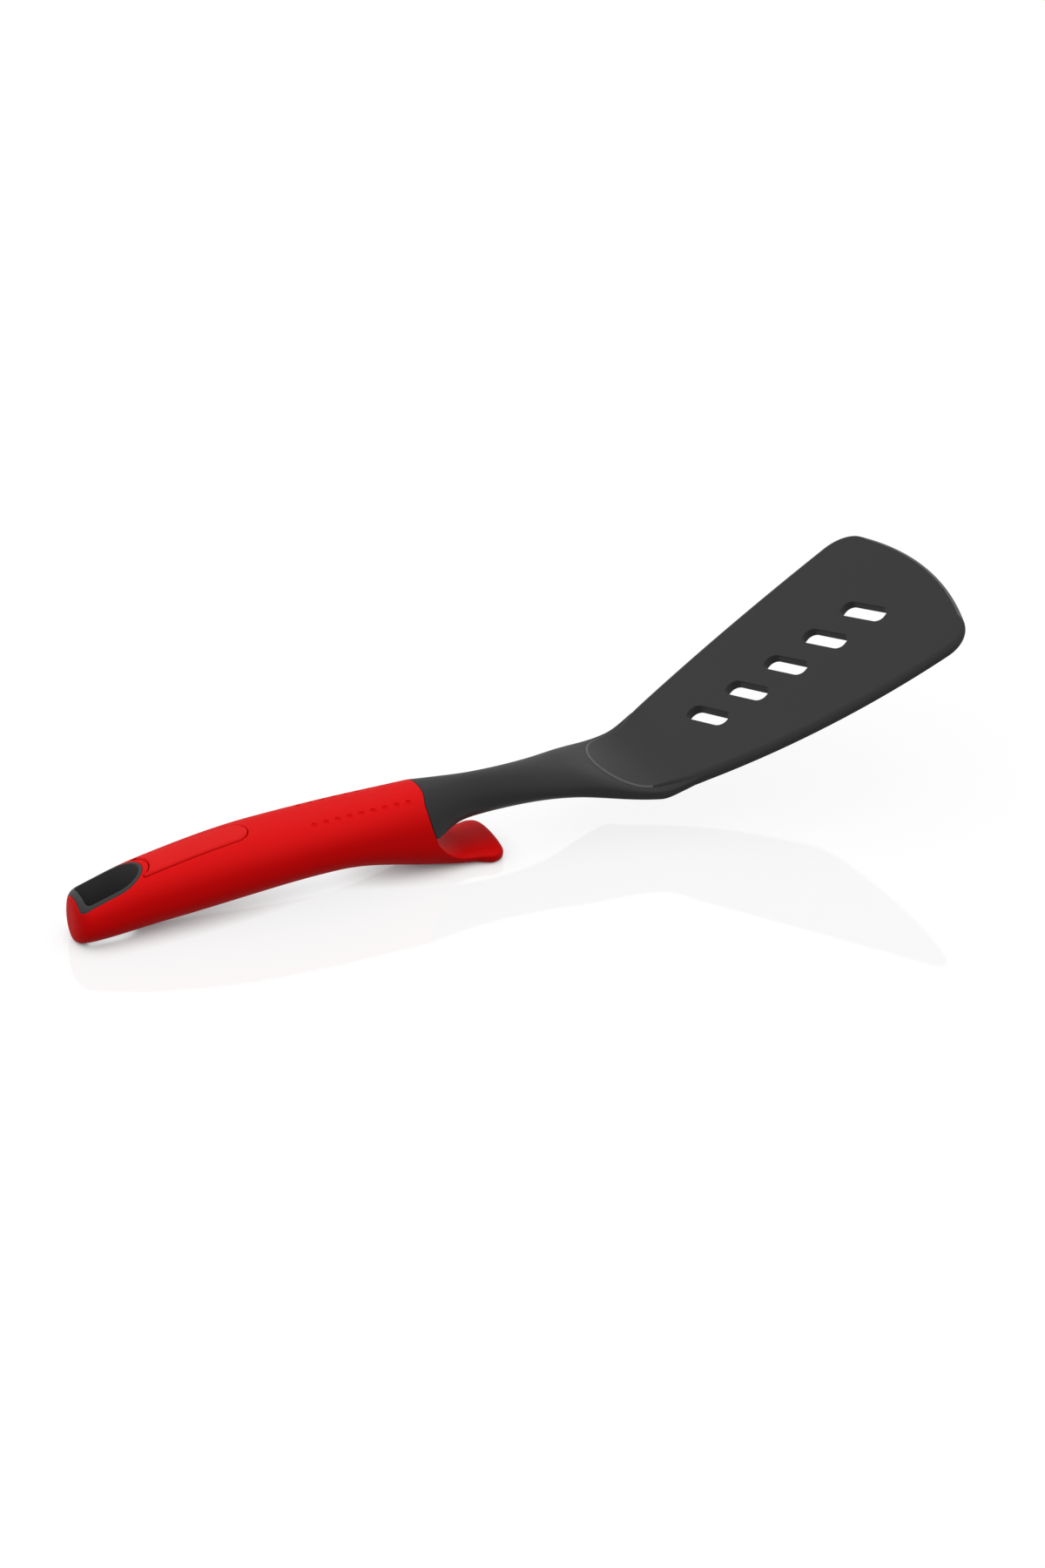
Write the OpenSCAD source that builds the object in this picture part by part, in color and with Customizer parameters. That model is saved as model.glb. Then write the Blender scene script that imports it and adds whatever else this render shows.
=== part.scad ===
// Slotted turner with a soft red grip, a rest foot under the neck and a lined hanging hole.
// Millimetres. X runs from the tail of the handle to the tip of the blade, Y across, Z up.
// The tool rests on the foot and on the underside of the tail, on the plane Z = 0.

/* [Handle] */
// Length of the handle along the top, from the tail to the seam with the neck
handle_l = 137; // [120:1:160]
// Width of the handle near the tail
tail_w = 21.6; // [20:0.2:26]
// Greatest width of the handle
grip_w = 30.8; // [28:0.2:36]
// Width of the handle at the seam with the neck
front_w = 29; // [25:0.2:32]
// Height of the handle's top at the tail
tail_h = 17.6; // [15:0.2:20]
// Height of the handle's top at the front end of the hanging hole
eye_h = 25.2; // [22:0.2:27]
// Distance of the handle's widest place from the tail
mid_x = 72; // [62:1:86]
// Height of the handle's top at its widest place
mid_h = 30.8; // [28:0.2:33]
// Height of the handle's top at the seam
front_h = 32.2; // [31:0.2:36]
// Rise of the arch under the handle
arch_h = 8.6; // [4:0.2:10]
// Distance of the arch's highest point from the tail
arch_x = 99; // [70:1:110]
// Radius of the tail's corners, seen from above
tail_r = 7; // [3:0.5:9]
// Radius of the tail's edges, seen from the side
tail_edge_r = 2.5; // [1:0.5:4]
// Lean of the tail's end face, which draws its foot in
tail_lean = 5; // [0:0.5:8]
// Lean of the seam face, away from upright
seam_lean = 2; // [0:1:8]
// Gap between the seam face and the end of the neck
seam_gap = 0.15; // [0.05:0.05:0.4]

/* [Rest foot] */
// Reach of the foot in front of the seam's top edge
foot_l = 29; // [24:1:40]
// Width of the foot
foot_w = 27; // [20:0.5:29]
// Thickness of the foot at its front
foot_t = 5; // [4:0.2:8]
// Height of the foot's root, where it meets the seam face
foot_root_h = 12.4; // [9:0.2:12.6]
// Length of the hollow curve from the root down to the foot's top
foot_fillet = 12; // [6:0.5:16]
// Length of the foot's flat sole
sole_l = 12; // [8:0.5:20]
// Radius of the foot's front, seen from above
foot_r = 10; // [4:0.5:12]

/* [Neck] */
// Length from the seam to the root of the blade
neck_l = 97; // [93:1:130]
// Depth of the neck's end on the seam face
neck_end_t = 19; // [17:0.2:19.6]
// Distance of the neck's narrowest place from the seam
waist_x = 19; // [14:1:28]
// Width of the neck at its narrowest place
waist_w = 16.8; // [14:0.2:22]
// Height of the neck's top at its narrowest place
waist_h = 31.4; // [29:0.2:33]
// Thickness of the neck at its narrowest place
waist_t = 14.6; // [11:0.2:16]
// Distance from the seam at which the neck spreads
shank_x = 55; // [42:1:62]
// Width of the neck where it spreads
shank_w = 29.2; // [24:0.2:36]
// Height of the neck's top where it spreads
shank_h = 28.4; // [26:0.2:30]
// Thickness of the neck where it spreads
shank_t = 10.6; // [8:0.2:12]
// Distance of the fold from the seam: there the blade starts to rise
fold_x = 89; // [72:1:92]
// Width at the fold
fold_w = 51; // [44:0.2:56]
// Height of the top at the fold
fold_h = 24.6; // [23:0.2:25.6]
// Thickness at the fold
fold_t = 5.6; // [4:0.2:7]

/* [Blade] */
// Length of the blade in plan, from its root to its tip
blade_l = 109.5; // [100:0.5:130]
// Width of the blade at its root
root_w = 55.2; // [48:0.2:64]
// Width across the sides, carried on to the tip before the corners are rounded
blade_w = 96.6; // [84:0.2:108]
// Radius of the bow in each side
side_r = 379; // [260:1:900]
// Radius of the front edge
front_r = 130; // [80:1:300]
// Radius of the front corners
corner_r = 14; // [6:0.5:20]
// Height of the blade's top face at its root
root_h = 26.8; // [25:0.2:30]
// Upward slope of the blade at its root, in degrees
root_tilt = 21.2; // [12:0.2:26]
// Upward slope of the blade at its tip, in degrees
tip_tilt = 27.4; // [14:0.2:34]
// Thickness of the blade at its root
root_t = 3.4; // [2.6:0.1:4]
// Thickness of the blade at its tip
tip_t = 2.3; // [1.6:0.1:3]

/* [Slots] */
// Number of slots
slot_n = 5; // [1:1:5]
// Distance between slots, along the blade's face
slot_pitch = 17.8; // [12:0.2:19]
// Distance of the first slot from the blade's root, along the face
slot_first = 21.5; // [14:0.5:24]
// Length of the first slot
slot_l = 18.4; // [12:0.2:24]
// Growth in length from one slot to the next
slot_grow = 0.5; // [0:0.1:1]
// Width of a slot
slot_w = 6.4; // [4:0.1:8]
// Radius of a slot's corners
slot_r = 2.7; // [1:0.1:2.8]
// Slant of the slots, away from straight across
slot_slant = 24; // [-35:1:35]

/* [Hanging eye] */
// Length of the eye's liner
eye_l = 26.5; // [20:0.5:30]
// Width of the eye's liner
eye_w = 17; // [13:0.5:18]
// Length of the liner's rounded front
eye_nose = 11; // [8:0.5:14]
// Distance of the liner from the tail
eye_x = 1.3; // [1.1:0.1:4]
// Wall of the liner at its sides and front
eye_wall = 1; // [0.8:0.1:1.8]
// Wall of the liner next to the tail
eye_tail_wall = 2.2; // [1:0.1:3]
// Radius of the liner's two corners next to the tail
eye_r = 3.5; // [2:0.1:5]

/* [Thumb pad] */
// Distance of the pad from the front of the hanging eye
pad_back = 3; // [2:0.5:10]
// Length of the pad along its middle
pad_l = 37.5; // [24:0.5:50]
// Width of the pad at its rear end
pad_rear_w = 13; // [10:0.5:16]
// Width of the pad at its rounded front end
pad_front_w = 11; // [8:0.5:16]
// Radius of the hollow in the pad's rear end, round the hanging eye
pad_rear_r = 6.6; // [5:0.2:9]
// Reach of the pad's two horns back round the hanging eye
pad_horn = 4; // [2:0.5:5]
// Thickness of the pad
pad_t = 1.6; // [1:0.1:2.4]
// Seam round the pad
pad_gap = 0.2; // [0.1:0.05:0.4]

/* [Core] */
// Width of the core bar
core_w = 18; // [15:0.5:20]
// Height of the core bar
core_t = 14; // [11:0.5:15]
// Distance of the core's rear end from the hanging eye
core_back = 5; // [4:0.5:14]
// Height of the core's middle at its rear end
core_rear_h = 13.8; // [12.5:0.1:14.5]
// Height of the core's middle at the seam
core_front_h = 21.6; // [21:0.1:22]
// Length of the tang inside the core
tang_l = 72; // [50:1:80]
// Width of the tang
tang_w = 10; // [8:0.2:11]
// Height of the tang
tang_t = 7; // [5:0.2:7.6]
// Clearance round the tang in its socket
tang_gap = 0.15; // [0.05:0.05:0.4]
// Diameter of the cross pin
pin_d = 4; // [3:0.1:4.4]
// Clearance round the pin, in diameter
pin_gap = 0.1; // [0.05:0.05:0.3]
// Distance of the pin from the seam
pin_back = 30; // [16:1:44]

/* [Hidden] */
$fn = 48;

// Facets round a section, and steps along each stretch
SIDES = 40;
GRIP_STEPS = 20;
NECK_STEPS = 16;
SIDE_STEPS = 7;
ARC_STEPS = 6;
// Distance by which a cut runs past the surface that it opens
PAST = 1;
// Depth that the foot and the tail are made below the floor and cut off again
SINK = 0.4;
// Half the flat left at the end of a rounded nose, which closes it
NOSE = 2.5;
// Squareness of a section: 2 is an ellipse, more is squarer
OVAL = 2.1;
KEEL = 1.9;
HEEL = 2.6;
SOLE = 10;
PLATE = 9;
// Lift of the underside just in front of the tail
TAIL_LIFT = 0.2;
// Reach of the tang into the neck that it grows from
TANG_ROOT = 8;
// Distance that long cuts and bars run on past the shape that trims them
REACH = 10;
// Steps round the hanging eye's front, and facets of the pad's front
EYE_STEPS = 24;
PAD_FACETS = 32;
// Colours
DARK_GREY = [0.25, 0.25, 0.255];
CORE_GREY = [0.35, 0.35, 0.36];
STEEL = [0.75, 0.75, 0.77];
RED = [0.72, 0.02, 0.03];
PAD_RED = [0.85, 0.08, 0.09];
LINER_GREY = [0.2, 0.2, 0.205];

// Stations from the tail
seam_x = handle_l;
root_x = handle_l + neck_l;
overall_l = root_x + blade_l;
foot_x = seam_x + foot_l;
eye_end_x = eye_x + eye_l;
pad_x = eye_end_x + pad_back;
core_x = eye_end_x + core_back;
seam_k = tan(seam_lean);
tail_k = tan(tail_lean);
// Roundings in plan, limited by the widths that they round
tail_round = min(tail_r, tail_w / 2 - NOSE);
foot_round = min(foot_r, foot_w / 2 - NOSE);

// Value at x on a smooth curve through stations [x, value]
function secant(p, i) = (p[i + 1][1] - p[i][1]) / (p[i + 1][0] - p[i][0]);
function slope(p, i) =
    i == 0 ? secant(p, 0) :
    i == len(p) - 1 ? secant(p, i - 1) :
    let (l = secant(p, i - 1), r = secant(p, i))
    l * r <= 0 ? 0 : 2 * l * r / (l + r);
function hermite(p, i, h, t) =
    p[i][1] * (2 * t * t * t - 3 * t * t + 1) + p[i + 1][1] * (3 * t * t - 2 * t * t * t)
    + h * (slope(p, i) * (t * t * t - 2 * t * t + t) + slope(p, i + 1) * (t * t * t - t * t));
function curve(p, x) =
    x <= p[0][0] ? p[0][1] :
    x >= p[len(p) - 1][0] ? p[len(p) - 1][1] :
    let (i = max([for (k = [0 : len(p) - 2]) if (p[k][0] <= x) k]), h = p[i + 1][0] - p[i][0])
    hermite(p, i, h, (x - p[i][0]) / h);

// How far a rounded end of radius r draws in at distance d from its end
function round_in(d, r) = d >= r ? 0 : r - sqrt(max(0, r * r - (r - d) * (r - d)));

// One closed section at x: half width a, from zb up to zt, with its own squareness above and below.
// The lean k moves its lower points forward, as on the tail and the seam face.
function signed_power(v, n) = sign(v) * pow(abs(v), 2 / n);
function ring(x, a, zt, zb, up = OVAL, down = OVAL, k = 0) =
    [for (i = [0 : SIDES - 1])
        let (t = 360 * i / SIDES, n = sin(t) < 0 ? down : up,
             z = (zt + zb) / 2 + (zt - zb) / 2 * signed_power(sin(t), n))
        [x + k * (zt - z), a * signed_power(cos(t), n), z]];

// Solid through a list of sections with the same number of points
module loft(rings) {
    n = len(rings[0]);
    last = len(rings) - 1;
    points = [for (r = rings) each r];
    sides = [for (j = [0 : last - 1], i = [0 : n - 1])
        let (a = j * n + i, b = j * n + (i + 1) % n)
        each [[a, a + n, b + n], [a, b + n, b]]];
    ends = [[for (i = [0 : n - 1]) i], [for (i = [0 : n - 1]) last * n + n - 1 - i]];
    polyhedron(points, concat(sides, ends), convexity = 6);
}

// The tool's origin is under the middle of its length
module placed() {
    translate([-overall_l / 2, 0, 0]) children();
}

// Handle: half width, top, underside and squareness of the underside along its length
handle_half_w = [[0, tail_w / 2], [mid_x, grip_w / 2], [seam_x, front_w / 2],
    [foot_x - foot_round, foot_w / 2]];
handle_top = [[0, tail_h], [eye_end_x, eye_h], [mid_x, mid_h], [seam_x, front_h]];
handle_under = [[0, 0], [tail_round, TAIL_LIFT], [arch_x, arch_h], [foot_x - sole_l, 0], [foot_x, 0]];
handle_sole = [[0, KEEL], [arch_x, OVAL], [seam_x, HEEL], [foot_x - sole_l, SOLE]];

// Section of the handle and foot; drop lowers its top
function handle_ring(x, drop = 0) =
    let (a = curve(handle_half_w, x) - round_in(x, tail_round) - round_in(foot_x - x, foot_round),
         zt = curve(handle_top, x) - round_in(x, tail_edge_r) - drop,
         zb = curve(handle_under, x) - SINK + round_in(x, tail_edge_r))
    ring(x, a, zt, zb, OVAL, curve(handle_sole, x), tail_k * max(0, 1 - x / eye_end_x));

// Stations that crowd together at the two rounded ends
function crowd(r, n) = [for (i = [0 : n]) r * (1 - cos(90 * i / n))];
tail_stations = crowd(tail_round, ARC_STEPS);
nose_stations = [for (d = crowd(foot_round, ARC_STEPS)) foot_x - d];
body_run = foot_x - foot_round - tail_round;
body_stations = [for (i = [1 : GRIP_STEPS]) tail_round + body_run * i / (GRIP_STEPS + 1)];
function reversed(v) = [for (i = [len(v) - 1 : -1 : 0]) v[i]];

module handle_body(drop = 0) {
    loft([for (x = concat(tail_stations, body_stations, reversed(nose_stations))) handle_ring(x, drop)]);
}

// Space in front of the seam face and above the foot.
// The foot's top runs down from its root in a hollow curve.
module above_foot() {
    root_out_x = seam_x + seam_k * (front_h - foot_root_h);
    fillet = [for (i = [0 : ARC_STEPS])
        let (t = i / ARC_STEPS)
        [root_out_x + foot_fillet * t, foot_t + (foot_root_h - foot_t) * pow(1 - t, 2)]];
    sky = front_h + REACH;
    outline = concat([[seam_x - seam_k * REACH, sky]], fillet, [[foot_x + PAST, foot_t], [foot_x + PAST, sky]]);
    translate([0, grip_w / 2 + PAST, 0]) rotate([90, 0, 0])
        linear_extrude(grip_w + 2 * PAST) polygon(outline);
}

// Everything behind the plane of the seam
module behind_seam() {
    low = -REACH;
    high = front_h + REACH;
    outline = [[-PAST, low], [seam_x + seam_k * (front_h - low), low],
        [seam_x + seam_k * (front_h - high), high], [-PAST, high]];
    translate([0, grip_w / 2 + PAST, 0]) rotate([90, 0, 0])
        linear_extrude(grip_w + 2 * PAST) polygon(outline);
}

// Everything under the plane that the tool rests on
module below_floor() {
    translate([-PAST, -grip_w, -REACH]) cube([foot_x + 2 * PAST, 2 * grip_w, REACH]);
}

// Core bar along its own sloping line
core_run = seam_x - core_x;
core_slope = atan((core_front_h - core_rear_h) / core_run);
core_line = core_run / cos(core_slope);
module on_core() {
    translate([core_x, 0, core_rear_h]) rotate([0, -core_slope, 0]) children();
}
// A bar on the core's line between two stations along it
module core_bar(from, to, w, t) {
    on_core() translate([from, -w / 2, -t / 2]) cube([to - from, w, t]);
}
module core_block() {
    intersection() {
        core_bar(0, core_line + REACH, core_w, core_t);
        behind_seam();
    }
}
module pin_rod(d, l) {
    on_core() translate([core_line - pin_back, l / 2, 0]) rotate([90, 0, 0]) cylinder(d = d, h = l);
}

// Outline of the hanging eye, drawn in by its walls: square towards the tail, oval in front
module eye_outline(wall, tail_wall) {
    half = eye_w / 2 - wall;
    nose = eye_nose - wall;
    nose_x = eye_end_x - eye_nose;
    r = eye_r - wall;
    corner_x = eye_x + tail_wall + r;
    front = [for (i = [0 : EYE_STEPS])
        let (t = 180 * i / EYE_STEPS - 90)
        [nose_x + nose * cos(t), half * sin(t)]];
    left = arc([corner_x, half - r], r, 90, 180, ARC_STEPS);
    right = arc([corner_x, r - half], r, 180, 270, ARC_STEPS);
    polygon(concat(front, left, right));
}
// The eye leans with the tail's end face
module eye_prism(wall, tail_wall) {
    translate([eye_x, 0, tail_h]) rotate([0, -tail_lean, 0]) translate([-eye_x, 0, -tail_h - REACH])
        linear_extrude(eye_h + 2 * REACH) eye_outline(wall, tail_wall);
}

// Outline of the thumb pad, grown by the given seam. The pad seats on the floor of its recess.
module pad_outline(grow) {
    front_r = pad_front_w / 2;
    difference() {
        hull() {
            translate([pad_x + pad_l - front_r, 0]) circle(front_r + grow, $fn = PAD_FACETS);
            translate([pad_x - pad_horn - grow, -pad_rear_w / 2 - grow]) square([PAST, pad_rear_w + 2 * grow]);
        }
        translate([pad_x - pad_rear_r, 0]) circle(pad_rear_r - grow);
    }
}
module pad_body(grow) {
    difference() {
        intersection() {
            handle_body();
            linear_extrude(front_h + REACH) pad_outline(grow);
        }
        handle_body(pad_t);
    }
}

// Blade: plan of one half as arcs that meet smoothly
front_c = [blade_l - front_r, 0];
side_mid = [blade_l / 2, (root_w + blade_w) / 4];
side_chord = [blade_l, (blade_w - root_w) / 2];
side_half = norm(side_chord) / 2;
side_c = side_mid + sqrt(side_r * side_r - side_half * side_half)
    * [side_chord[1], -side_chord[0]] / norm(side_chord);
// Centre of the corner: inside both the side's and the front's circle by the corner's radius
corner_gap = norm(front_c - side_c);
corner_a = front_r - corner_r;
corner_b = side_r - corner_r;
corner_along = (corner_a * corner_a - corner_b * corner_b + corner_gap * corner_gap) / (2 * corner_gap);
corner_up = sqrt(corner_a * corner_a - corner_along * corner_along);
corner_dir = (side_c - front_c) / corner_gap;
corner_c = front_c + corner_along * corner_dir + corner_up * [-corner_dir[1], corner_dir[0]];
function angle_of(v) = atan2(v[1], v[0]);
function arc(c, r, from, to, n) =
    [for (i = [0 : n]) let (t = from + (to - from) * i / n) c + r * [cos(t), sin(t)]];
side_from = angle_of([0, root_w / 2] - side_c);
side_to = angle_of(corner_c - side_c);
front_from = angle_of(corner_c - front_c);
front_to = asin(NOSE / front_r);
side_arc = arc(side_c, side_r, side_from, side_to, SIDE_STEPS);
corner_arc = arc(corner_c, corner_r, side_to, front_from, ARC_STEPS);
front_arc = arc(front_c, front_r, front_from, front_to, ARC_STEPS);
function tail_of(v) = [for (i = [1 : len(v) - 1]) v[i]];
blade_plan = concat(side_arc, tail_of(corner_arc), tail_of(front_arc));

// Top face of the blade at distance d from its root: its slope grows steadily towards the tip
tilt_k = (tan(tip_tilt) - tan(root_tilt)) / blade_l;
function blade_slope(d) = tan(root_tilt) + tilt_k * d;
function blade_top(d) = root_h + tan(root_tilt) * d + tilt_k * d * d / 2;
function blade_drop(d) = (root_t + (tip_t - root_t) * d / blade_l) / cos(atan(blade_slope(d)));

// Neck: half width, top, underside and squareness from the seam to the blade's root
neck_half_w = [[0, front_w / 2], [waist_x, waist_w / 2], [shank_x, shank_w / 2], [fold_x, fold_w / 2],
    [neck_l, root_w / 2]];
neck_top = [[0, front_h], [waist_x, waist_h], [shank_x, shank_h], [fold_x, fold_h], [neck_l, root_h]];
neck_under = [[0, front_h - neck_end_t], [waist_x, waist_h - waist_t], [shank_x, shank_h - shank_t],
    [fold_x, fold_h - fold_t], [neck_l, root_h - blade_drop(0)]];
neck_square = [[shank_x, OVAL], [neck_l, PLATE]];
function neck_ring(d) =
    ring(seam_x + seam_gap + (neck_l - seam_gap) * d / neck_l, curve(neck_half_w, d), curve(neck_top, d),
        curve(neck_under, d), curve(neck_square, d), curve(neck_square, d),
        seam_k * max(0, 1 - d / waist_x));
function blade_ring(p) =
    ring(root_x + p[0], p[1], blade_top(p[0]), blade_top(p[0]) - blade_drop(p[0]), PLATE, PLATE);

// Depth of a slot's cut, which clears both faces of the blade
slot_cut = 2 * (root_t + PAST);
module slot_outline(l) {
    square([slot_w, l - 2 * slot_r], center = true);
    square([slot_w - 2 * slot_r, l], center = true);
    for (sx = [-1, 1], sy = [-1, 1])
        translate([sx * (slot_w / 2 - slot_r), sy * (l / 2 - slot_r)]) circle(slot_r);
}
module slots() {
    for (i = [0 : slot_n - 1]) {
        d = (slot_first + i * slot_pitch) * cos((root_tilt + tip_tilt) / 2);
        translate([root_x + d, 0, blade_top(d) - blade_drop(d) / 2])
            rotate([0, -atan(blade_slope(d)), 0])
            rotate([0, 0, slot_slant])
            linear_extrude(slot_cut, center = true) slot_outline(slot_l + i * slot_grow);
    }
}

module turner_head() {
    neck_rings = [for (i = [0 : NECK_STEPS - 1]) neck_ring(neck_l * i / NECK_STEPS)];
    color(DARK_GREY) placed() {
        difference() {
            loft(concat(neck_rings, [for (p = blade_plan) blade_ring(p)]));
            slots();
        }
        difference() {
            core_bar(core_line - tang_l, core_line + TANG_ROOT, tang_w, tang_t);
            pin_rod(pin_d + pin_gap, tang_w + 2 * PAST);
        }
    }
}

module handle_core() {
    color(CORE_GREY) placed()
    difference() {
        core_block();
        core_bar(core_line - tang_l - tang_gap, core_line + REACH, tang_w + 2 * tang_gap,
            tang_t + 2 * tang_gap);
        pin_rod(pin_d + pin_gap, core_w + 2 * PAST);
    }
}

module tang_pin() {
    color(STEEL) placed() pin_rod(pin_d, core_w);
}

module grip_sleeve() {
    color(RED) placed()
    difference() {
        handle_body();
        below_floor();
        above_foot();
        core_block();
        core_bar(core_line - REACH, core_line + REACH, core_w, core_t);
        eye_prism(0, 0);
        pad_body(pad_gap);
    }
}

module thumb_pad() {
    color(PAD_RED) placed() pad_body(0);
}

module hanging_eye() {
    color(LINER_GREY) placed()
    difference() {
        intersection() {
            handle_body();
            eye_prism(0, 0);
        }
        eye_prism(eye_wall, eye_tail_wall);
        below_floor();
    }
}

turner_head();
handle_core();
tang_pin();
grip_sleeve();
thumb_pad();
hanging_eye();
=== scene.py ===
"""Slotted kitchen turner with a soft red grip: the looks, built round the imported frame."""
import math

import bmesh
import bpy
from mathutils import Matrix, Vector


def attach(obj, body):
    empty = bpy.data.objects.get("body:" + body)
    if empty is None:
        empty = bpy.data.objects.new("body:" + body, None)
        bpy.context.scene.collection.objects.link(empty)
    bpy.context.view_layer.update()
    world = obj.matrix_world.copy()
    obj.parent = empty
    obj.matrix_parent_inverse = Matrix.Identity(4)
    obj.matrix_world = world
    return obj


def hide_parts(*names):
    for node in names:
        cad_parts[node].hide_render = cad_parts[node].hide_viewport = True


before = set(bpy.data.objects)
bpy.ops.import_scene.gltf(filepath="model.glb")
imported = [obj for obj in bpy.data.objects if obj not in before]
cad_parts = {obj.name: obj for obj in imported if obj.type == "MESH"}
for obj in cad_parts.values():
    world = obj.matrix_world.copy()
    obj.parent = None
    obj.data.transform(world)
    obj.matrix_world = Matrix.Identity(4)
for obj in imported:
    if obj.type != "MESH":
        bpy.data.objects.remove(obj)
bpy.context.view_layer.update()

# Lengths are in millimetres from the tail and become metres when a mesh is finished
MM = 0.001

# Handle and foot
HANDLE_L = 137.0
TAIL_W = 21.6
GRIP_W = 30.8
FRONT_W = 29.0
TAIL_H = 17.6
EYE_H = 24.9
MID_X = 72.0
MID_H = 30.3
FRONT_H = 32.2
ARCH_H = 8.6
ARCH_X = 99.0
TAIL_ROUND = 6.2
TAIL_DOME = 2.35
TAIL_EDGE = 3.6
TAIL_EDGE_DOME = 3.2
TAIL_LEAN = math.tan(math.radians(-2.5))
SEAM_GAP = 0.15
FOOT_L = 27.2
FOOT_W = 28.0
FOOT_WAIST_W = 26.2
FOOT_T = 6.7
FOOT_ROOT_H = 14.4
FOOT_FILLET = 12.0
SOLE_L = 12.0
FOOT_ROUND = 5.6
FOOT_WALL_H = 3.6
FOOT_RIM_L = 18.0
FOOT_NOSE_R = 3.0
FOOT_NOSE_SINK = 0.4
FOOT_TOP_MIN = 0.1
SOLE_RIM_R = 0.9
SEAM_RIM_R = 0.35
SEAM_RIM_RUN = 3.0
SEAM_BAND = 1.2
# A section of the grip goes this far below the table and is cut off there, which leaves a flat
SINK = 0.4
TAIL_START = 0.004
TAIL_LIFT = 0.4
RISE_X = 33.0
RISE_H = 3.0

# Neck, with stations from the seam
NECK_L = 97.0
NECK_END_T = 17.8
WAIST_X = 19.0
WAIST_W = 16.8
WAIST_H = 31.4
WAIST_T = 15.5
SHANK_X = 55.0
SHANK_W = 29.2
SHANK_H = 28.4
SHANK_T = 10.6
FOLD_X = 84.5
FOLD_W = 49.6
FOLD_H = 21.7
FOLD_T = 4.2
FOLD_SOFT = 6.0
FOLD_SOFT_FROM = 66.0
FOLD_SOFT_TO = 98.0
FOLD_SOFT_RUN = 14.0
SQUARE_FROM = 34.0
NECK_START = 1.0
NECK_FLUSH_L = 14.0
NECK_CHIN_H = 2.6
NECK_RUN_IN = 12.0
NECK_SINK = 0.7
NECK_SINK_BACK = 4.0
NECK_SINK_RUN = 12.0
NECK_HIDE = 1.2
NECK_HIDE_BACK = 4.0
PLATE_UPRIGHT = 1.05

# Blade, with its tongue that lies on the neck; tilts in degrees
BLADE_L = 109.5
ROOT_W = 55.8
BLADE_W = 97.4
SIDE_R = 379.0
FRONT_R = 130.0
CORNER_R = 11.5
ROOT_H = 26.8
ROOT_TILT = 21.2
TIP_TILT = 28.2
ROOT_SLOPE = math.tan(math.radians(ROOT_TILT))
TIP_SLOPE = math.tan(math.radians(TIP_TILT))
MEAN_TILT = math.radians((ROOT_TILT + TIP_TILT) / 2)
ROOT_T = 4.0
TIP_T = 3.1
TONGUE_X = 205.0
TONGUE_JOIN_X = 221.3
TONGUE_W = 43.0
TONGUE_T = 1.6
LIP_H = 0.5
LIP_RUN = 14.0
LIP_EDGE = 0.8
SIDE_EDGE = 2.6
FRONT_EDGE = 1.4
FRONT_SQUARE_L = 20.0
EDGE_DROP = 0.55
# Painted highlight on the lip and the front edge, a lighter grey standing in for their catch-light: on
# faces between these depths, and this far from the lip's end
PAINTED_HIGHLIGHT_START = 0.004
PAINTED_HIGHLIGHT_DROP = 0.3
PAINTED_HIGHLIGHT_BACK = 2.0

# Slots
SLOT_N = 5
SLOT_PITCH = 17.8
SLOT_FIRST = 20.4
SLOT_L = 18.4
SLOT_GROW = 0.5
SLOT_W = 7.2
SLOT_R = 3.0
SLOT_SLANT = math.radians(24.0)
SLOT_RIM_R = 0.4

# Hanging eye and thumb pad
EYE_L = 25.4
EYE_W = 17.0
EYE_NOSE = 11.0
EYE_X = 1.5
EYE_WALL = 1.3
EYE_TAIL_WALL = 2.3
EYE_R = 3.0
EYE_R_LOSS = 0.6
EYE_TAPER = 2.0
EYE_UNDER_RISE = 0.15
PAD_BACK = 3.0
PAD_L = 37.5
PAD_REAR_W = 13.0
PAD_FRONT_W = 11.0
PAD_REAR_R = 6.6
PAD_HORN = 4.0
PAD_T = 1.6
PAD_GAP = 0.3
PAD_CROWN = 0.92
PAD_RISE = 0.3
# Cutters go on this far past what they cut
REACH = 10.0

# Row of dimples along each side of the grip
DIMPLE_N = 9
DIMPLE_X = 90.5
DIMPLE_PITCH = 4.6
DIMPLE_Y = 7.8
DIMPLE_D = 2.2
DIMPLE_DEEP = 0.68

# Tang
TANG_L = 72.0
TANG_W = 10.0
TANG_T = 7.0
TANG_ROOT = 8.0
PIN_HOLE_D = 4.1
PIN_BACK = 30.0
CORE_BACK = 5.0
CORE_REAR_H = 13.8
CORE_FRONT_H = 21.6

# Squareness of a section: 2 is an ellipse, more is squarer
OVAL = 2.1
CROWN = 2.5
KEEL = 1.85
BELLY = 2.25
HEEL = 2.6
INSTEP = 4.5
SOLE = 9.0
PLATE = 9.0

# Stations
SEAM_X = HANDLE_L
ROOT_X = HANDLE_L + NECK_L
OVERALL_L = ROOT_X + BLADE_L
FOOT_X = SEAM_X + FOOT_L
EYE_END_X = EYE_X + EYE_L
PAD_X = EYE_END_X + PAD_BACK
CORE_X = EYE_END_X + CORE_BACK

# Height at which a section of the grip is split, so that its lower part can run on into the foot
SPLIT_DOWN = 0.2
SPLIT_H = FOOT_ROOT_H - SPLIT_DOWN

# Rims, as steps of how far out and how far up
EYE_HOLE_RIM = [(0.3, 0.04), (0.12, -0.08), (0.03, -0.3), (0.03, -0.8)]
PAD_HOLE_RIM = [(0.55, 0.04), (0.32, -0.03), (0.15, -0.14), (0.07, -0.36), (0.06, -PAD_T)]
PAD_RIM = [(-0.9, 0.0), (-0.6, -0.04), (-0.33, -0.13), (-0.12, -0.28), (0.0, -0.55), (0.0, -PAD_T)]
# Here the first number is the share of the way from the liner's outside to its inside
EYE_RIM = [(0.0, -0.6), (0.05, -0.16), (0.2, 0.0), (0.5, 0.04), (0.72, 0.0), (0.88, -0.12), (1.0, -0.5)]
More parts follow.
